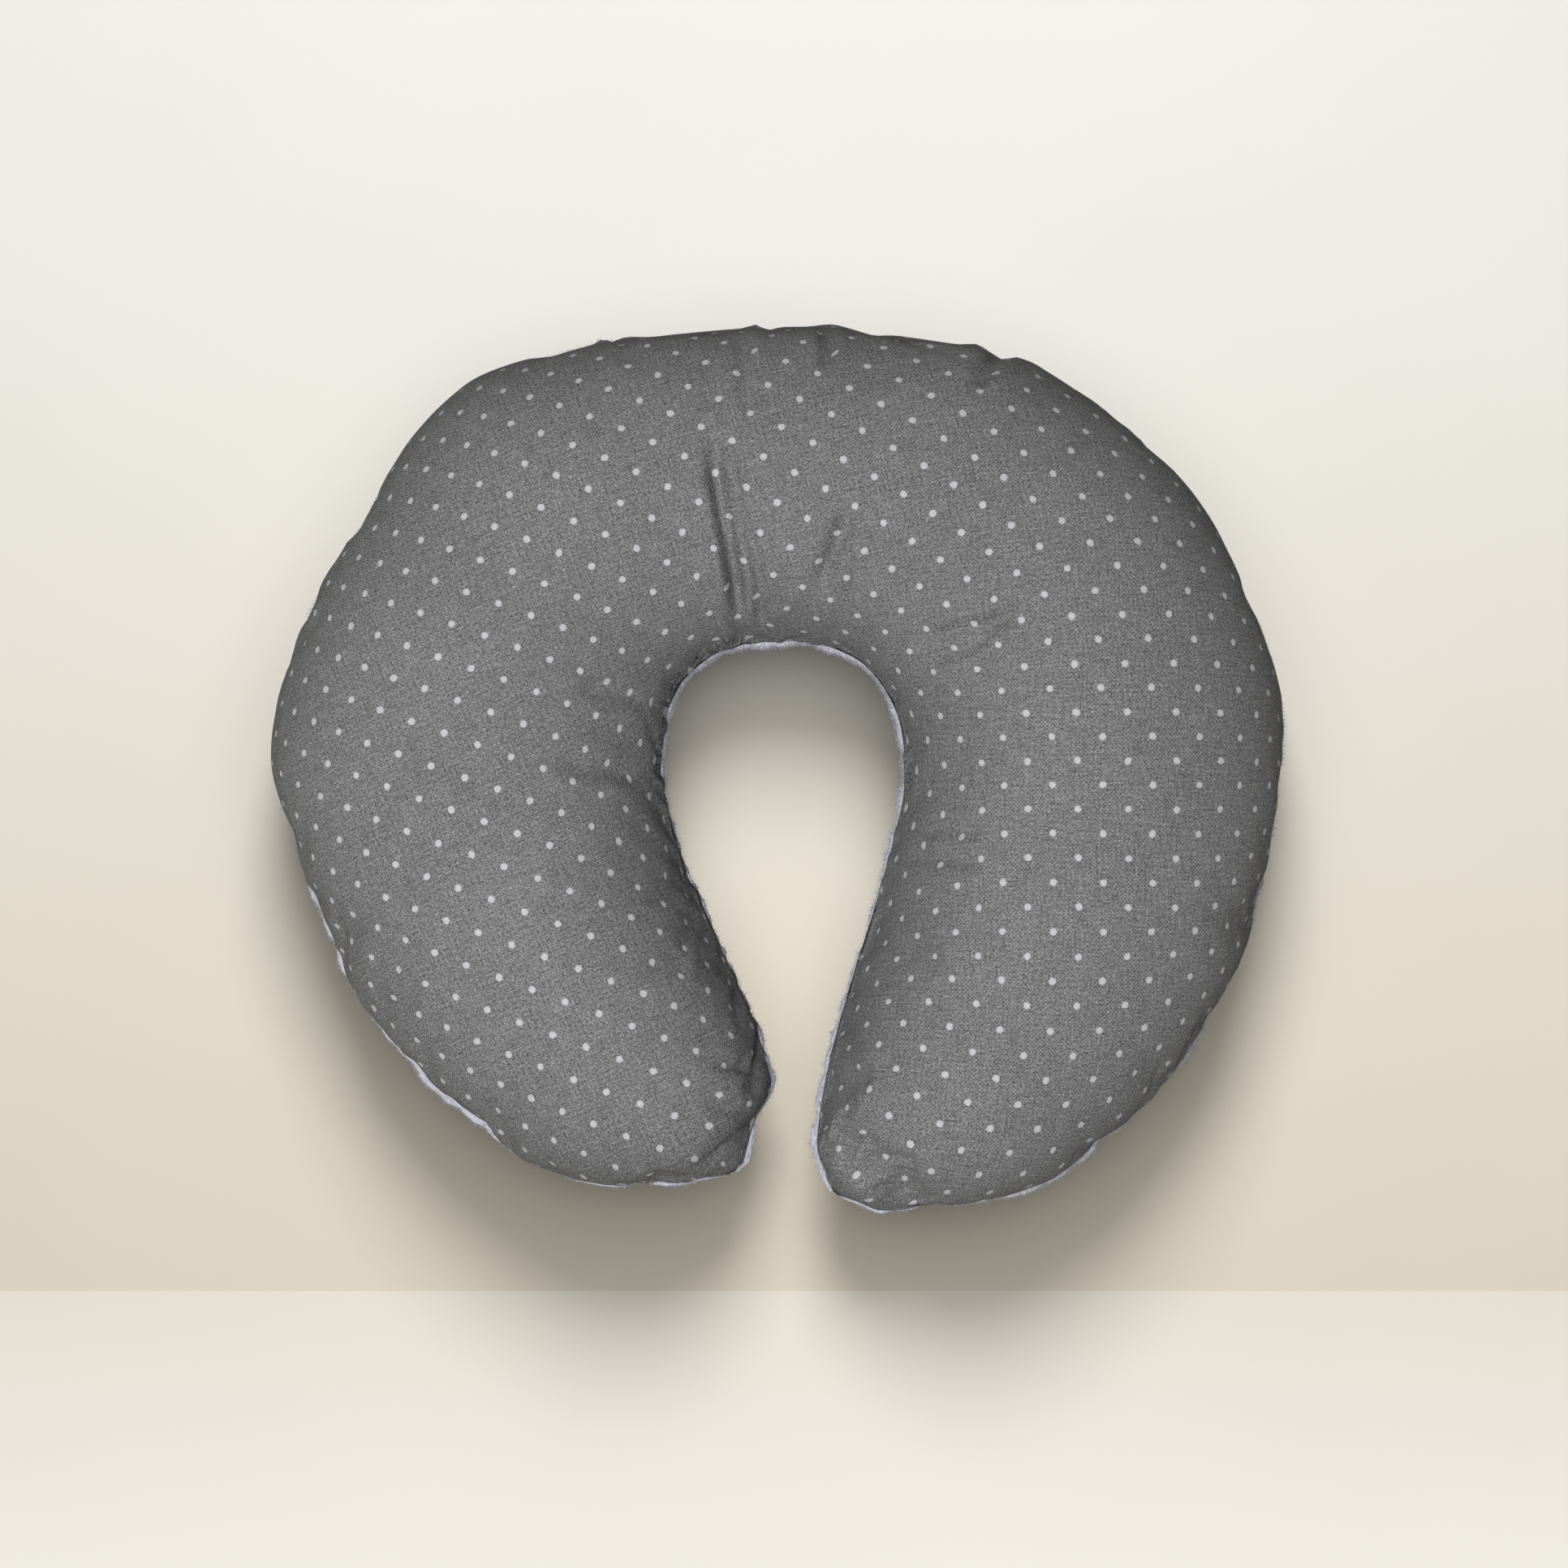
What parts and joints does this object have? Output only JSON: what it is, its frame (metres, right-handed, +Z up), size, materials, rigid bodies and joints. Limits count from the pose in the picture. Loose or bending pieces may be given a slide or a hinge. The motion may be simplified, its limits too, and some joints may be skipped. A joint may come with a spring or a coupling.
{
  "type": "nursing pillow",
  "caption": "C-shaped stuffed nursing pillow with an open throat, a zipped cover with a pin-dot woven top and a plush back, and a fibre-filled inner pillow.",
  "frame": {"origin": "on the flattened plush back's resting plane, under the centre of the pillow's bounding box", "axes": "+Z up from the plush back to the woven top; +Y from the open side to the crown; +X to the right seen from above with the crown away from the viewer"},
  "size_m": [0.5103, 0.45, 0.1348],
  "materials": {
    "woven_cotton": "plain weave with pale pin dots",
    "plush": "short soft pile",
    "seam_thread": "overlocked thread",
    "label": "satin ribbon, blank",
    "zip_tape": "fine twill tape",
    "zip_teeth": "moulded",
    "zip_metal": "satin enamel",
    "casing_cotton": "plain weave",
    "fill": "loose polyester fibre"
  },
  "bodies": {
    "pillow": {"cover_top_panel": "woven_cotton", "cover_back_panel": "plush", "cover_seam_allowance": "seam_thread", "cover_care_label": "label", "zipper_tape_upper": "zip_tape", "zipper_tape_lower": "zip_tape", "zipper_teeth_upper": "zip_teeth", "zipper_teeth_lower": "zip_teeth", "zipper_top_stops": "zip_metal", "zipper_end_stop": "zip_metal", "zipper_bar_tacks": "seam_thread", "zipper_stitches_upper": "seam_thread", "zipper_stitches_lower": "seam_thread", "casing_top_panel": "casing_cotton", "casing_back_panel": "casing_cotton", "casing_edge": "seam_thread", "casing_closing_stitches": "seam_thread", "fibre_fill": "fill"},
    "slider": {"zipper_slider_body": "zip_metal", "zipper_slider_bail": "zip_metal"},
    "pull_tab": {"zipper_pull_tab": "zip_metal"}
  },
  "joints": [
    {"name": "slider_travel", "type": "hinge", "parent": "pillow", "child": "slider", "pos_m": [0.00321, -0.19448, 0.06], "axis": [0, 0, 1], "range_deg": [0, 23.2], "deforming": ["zipper_teeth_upper", "zipper_teeth_lower"]},
    {"name": "pull_tab_swing", "type": "hinge", "parent": "slider", "child": "pull_tab", "pos_m": [0.10242, 0.20987, 0.06], "axis": [0, 0, -1], "range_deg": [0, 150]}
  ]
}
